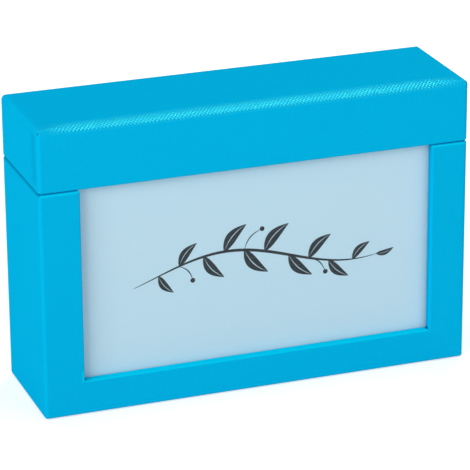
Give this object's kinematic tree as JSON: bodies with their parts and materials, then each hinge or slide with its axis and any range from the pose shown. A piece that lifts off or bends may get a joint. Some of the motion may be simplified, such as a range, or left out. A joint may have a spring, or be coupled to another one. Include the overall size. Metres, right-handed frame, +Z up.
{
  "type": "photo storage box",
  "caption": "Rigid covered board box for photo prints, with a lid hinged at the back and a framed window in front that holds a slide-in card.",
  "frame": {"origin": "centre of the underside, at the middle of the overall outline", "axes": "+X to the right seen from the front, +Y from the window front to the hinged back, +Z up"},
  "size_m": [0.175, 0.05, 0.117],
  "materials": {
    "blue_covering": "fine cross-grain embossed, satin",
    "hinge_cloth": "fine cloth, matt",
    "greyboard": "matt solid board",
    "lining_paper": "matt",
    "printed_card": "matt print",
    "clear_film": "clear gloss"
  },
  "bodies": {
    "base": {"front_frame_board": "greyboard", "base_back_board": "greyboard", "base_left_board": "greyboard", "base_right_board": "greyboard", "base_bottom_board": "greyboard", "base_cover": "blue_covering", "base_bottom_sheet": "blue_covering", "base_wall_lining": "lining_paper", "base_floor_lining": "lining_paper", "window_film": "clear_film", "slot_wall_board": "greyboard", "slot_wall_cover": "lining_paper", "slot_spacer_left": "greyboard", "slot_spacer_right": "greyboard", "slot_spacer_bottom": "greyboard", "base_hinge_cloth": "hinge_cloth"},
    "lid": {"lid_top_board": "greyboard", "lid_front_board": "greyboard", "lid_back_board": "greyboard", "lid_left_board": "greyboard", "lid_right_board": "greyboard", "lid_cover": "blue_covering", "lid_wall_lining": "lining_paper", "lid_top_lining": "lining_paper", "lid_hinge_cloth": "hinge_cloth"},
    "card": {"picture_card": "printed_card"}
  },
  "joints": [
    {"name": "lid_hinge", "type": "hinge", "parent": "base", "child": "lid", "pos_m": [0, 0.025, 0.09195], "axis": [-1, 0, 0], "range_deg": [0, 175]},
    {"name": "card_slide", "type": "slide", "parent": "base", "child": "card", "axis": [0, 0, 1], "range_m": [0, 0.022]}
  ]
}
